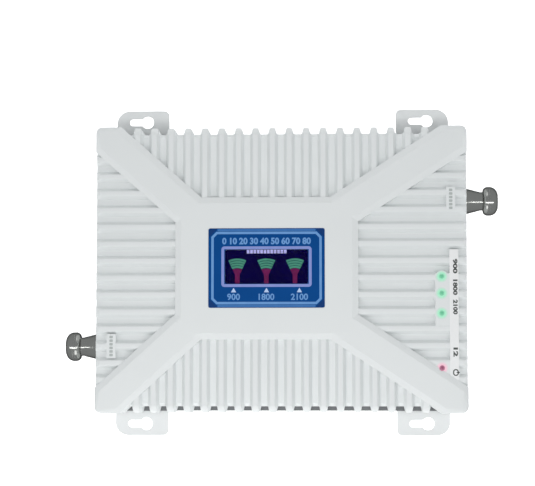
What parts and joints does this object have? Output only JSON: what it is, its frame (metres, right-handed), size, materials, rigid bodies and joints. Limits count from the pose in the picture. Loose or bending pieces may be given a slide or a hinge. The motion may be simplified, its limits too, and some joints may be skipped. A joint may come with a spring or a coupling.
{
  "type": "signal repeater",
  "caption": "Wall-mounted mobile signal repeater: finned die-cast box on a back plate with keyhole ears, a coaxial port on each side, a small display and indicator lamps.",
  "frame": {"origin": "middle of the wall face of the back plate, below the middle of the box", "axes": "+X towards the indoor antenna port, +Y towards the top edge, +Z out of the raised face"},
  "size_m": [0.2312, 0.1764, 0.0282],
  "materials": {
    "housing_paint": "satin white powder coat on die-cast aluminium",
    "plate_paint": "satin white powder coat on sheet aluminium",
    "seal_rubber": "matte grey rubber",
    "screw_steel": "zinc-plated steel",
    "overlay_print": "semi-gloss film printed blue with pale blue lines",
    "window_clear": "clear polycarbonate",
    "display_screen": "dark blue display glass with coloured figures",
    "tinned_sheet": "tinned steel sheet",
    "board_laminate": "green solder mask on glass laminate",
    "moulded_black": "black moulded plastic",
    "pad_silicone": "pale grey thermal silicone",
    "chip_black": "black moulded package",
    "filter_ceramic": "cream ceramic",
    "inductor_ferrite": "dark ferrite",
    "capacitor_can": "bare aluminium can",
    "port_nickel": "nickel-plated brass",
    "port_insulator": "white fluoropolymer",
    "contact_gold": "gold-plated bronze",
    "lamp_green": "green tinted lamp lens",
    "lamp_red": "red tinted lamp lens"
  },
  "bodies": {
    "root": {"front_housing": "housing_paint", "housing_seal": "seal_rubber", "back_plate": "plate_paint", "plate_screws": "screw_steel", "overlay_panel": "overlay_print", "display_window": "window_clear", "display_glass": "display_screen", "display_tray": "tinned_sheet", "display_board": "board_laminate", "display_header": "moulded_black", "display_screws": "screw_steel", "main_board": "board_laminate", "board_screws": "screw_steel", "low_band_shield": "tinned_sheet", "mid_band_shield": "tinned_sheet", "high_band_shield": "tinned_sheet", "thermal_pads": "pad_silicone", "amplifier_chips": "chip_black", "band_filters": "filter_ceramic", "supply_inductors": "inductor_ferrite", "supply_capacitors": "capacitor_can", "supply_regulator": "chip_black", "outdoor_port_shell": "port_nickel", "outdoor_port_insulator": "port_insulator", "outdoor_port_contact": "contact_gold", "outdoor_port_washer": "screw_steel", "outdoor_port_nut": "port_nickel", "indoor_port_shell": "port_nickel", "indoor_port_insulator": "port_insulator", "indoor_port_contact": "contact_gold", "indoor_port_washer": "screw_steel", "indoor_port_nut": "port_nickel", "power_inlet_body": "moulded_black", "power_inlet_pin": "screw_steel", "band_led_1": "lamp_green", "band_led_2": "lamp_green", "band_led_3": "lamp_green", "power_led": "lamp_red"}
  },
  "joints": []
}
